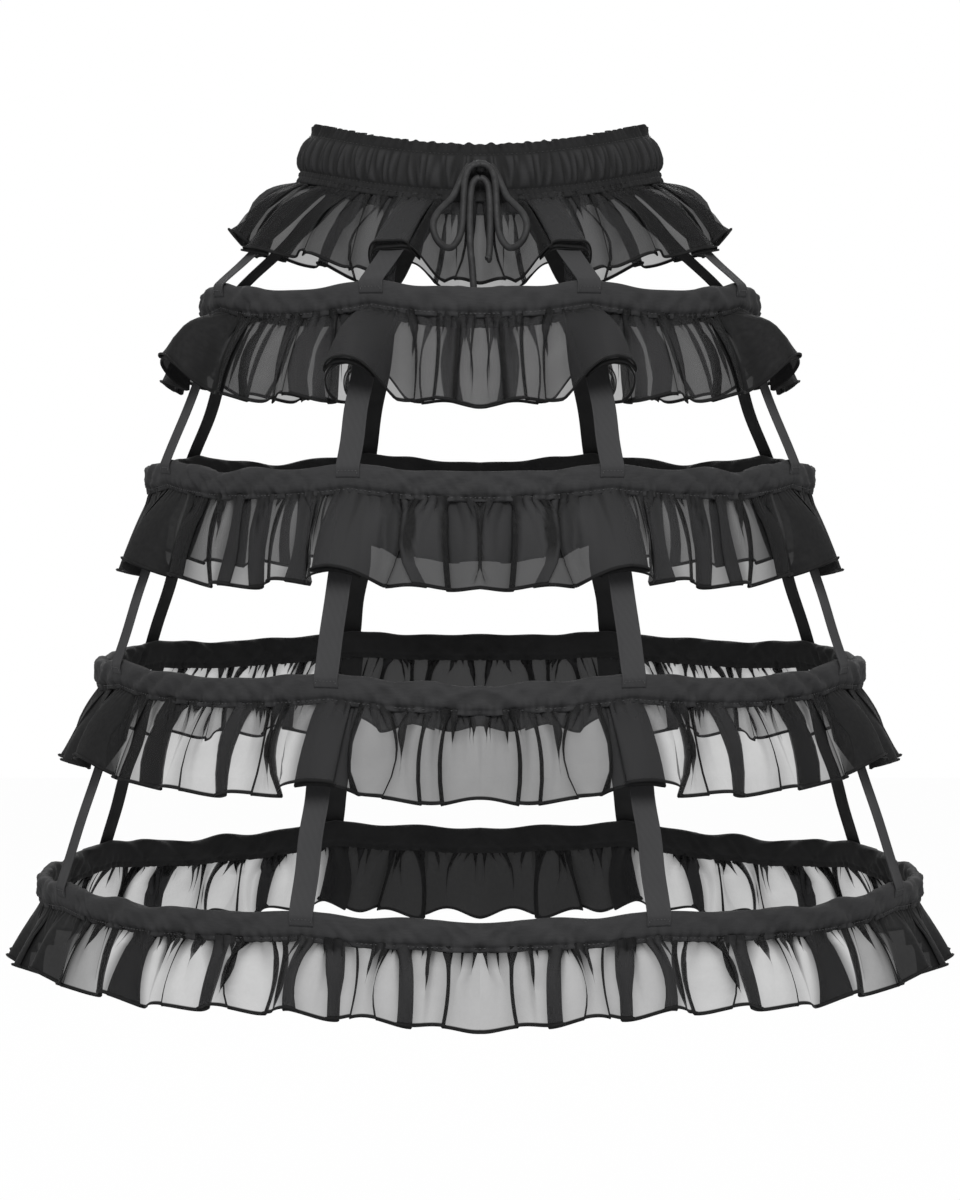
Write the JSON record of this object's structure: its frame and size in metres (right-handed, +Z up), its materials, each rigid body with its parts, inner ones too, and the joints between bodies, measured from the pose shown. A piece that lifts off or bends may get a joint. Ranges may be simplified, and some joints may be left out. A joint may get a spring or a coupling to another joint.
{
  "type": "crinoline cage",
  "caption": "Open black crinoline cage: elasticated waistband with a tied drawstring, cased hoops growing downwards, hanging tapes and a sheer gathered ruffle under the waist and every hoop.",
  "frame": {"origin": "middle of the waist opening, at the height of the waistband's middle at the two sides", "axes": "+Z up along the wearer's body, -Y out of the front where the bow is tied, +X to the right of the picture"},
  "size_m": [0.7102, 0.709, 0.6227],
  "materials": {
    "black_cotton": "plain woven, matt",
    "black_chiffon": "sheer, matt",
    "black_tape": "twill woven, matt",
    "black_cord": "braided, matt",
    "black_elastic": "knitted cover, matt",
    "white_bone": "satin",
    "steel_sleeve": "satin"
  },
  "bodies": {
    "root": {"waistband": "black_cotton", "waist_elastic": "black_elastic", "drawstring": "black_cord", "top_ruffle": "black_chiffon", "hoop_casing_1": "black_cotton", "hoop_casing_2": "black_cotton", "hoop_casing_3": "black_cotton", "hoop_casing_4": "black_cotton", "hoop_bone_1": "white_bone", "hoop_bone_2": "white_bone", "hoop_bone_3": "white_bone", "hoop_bone_4": "white_bone", "hoop_connector_1": "steel_sleeve", "hoop_connector_2": "steel_sleeve", "hoop_connector_3": "steel_sleeve", "hoop_connector_4": "steel_sleeve", "ruffle_1": "black_chiffon", "ruffle_2": "black_chiffon", "ruffle_3": "black_chiffon", "ruffle_4": "black_chiffon", "tape_1_back_left": "black_tape", "tape_1_side_back_left": "black_tape", "tape_1_side_front_left": "black_tape", "tape_1_front_left": "black_tape", "tape_1_front_right": "black_tape", "tape_1_side_front_right": "black_tape", "tape_1_side_back_right": "black_tape", "tape_1_back_right": "black_tape", "tape_2_back_left": "black_tape", "tape_2_side_back_left": "black_tape", "tape_2_side_front_left": "black_tape", "tape_2_front_left": "black_tape", "tape_2_front_right": "black_tape", "tape_2_side_front_right": "black_tape", "tape_2_side_back_right": "black_tape", "tape_2_back_right": "black_tape", "tape_3_back_left": "black_tape", "tape_3_side_back_left": "black_tape", "tape_3_side_front_left": "black_tape", "tape_3_front_left": "black_tape", "tape_3_front_right": "black_tape", "tape_3_side_front_right": "black_tape", "tape_3_side_back_right": "black_tape", "tape_3_back_right": "black_tape", "tape_4_back_left": "black_tape", "tape_4_side_back_left": "black_tape", "tape_4_side_front_left": "black_tape", "tape_4_front_left": "black_tape", "tape_4_front_right": "black_tape", "tape_4_side_front_right": "black_tape", "tape_4_side_back_right": "black_tape", "tape_4_back_right": "black_tape"}
  },
  "joints": []
}
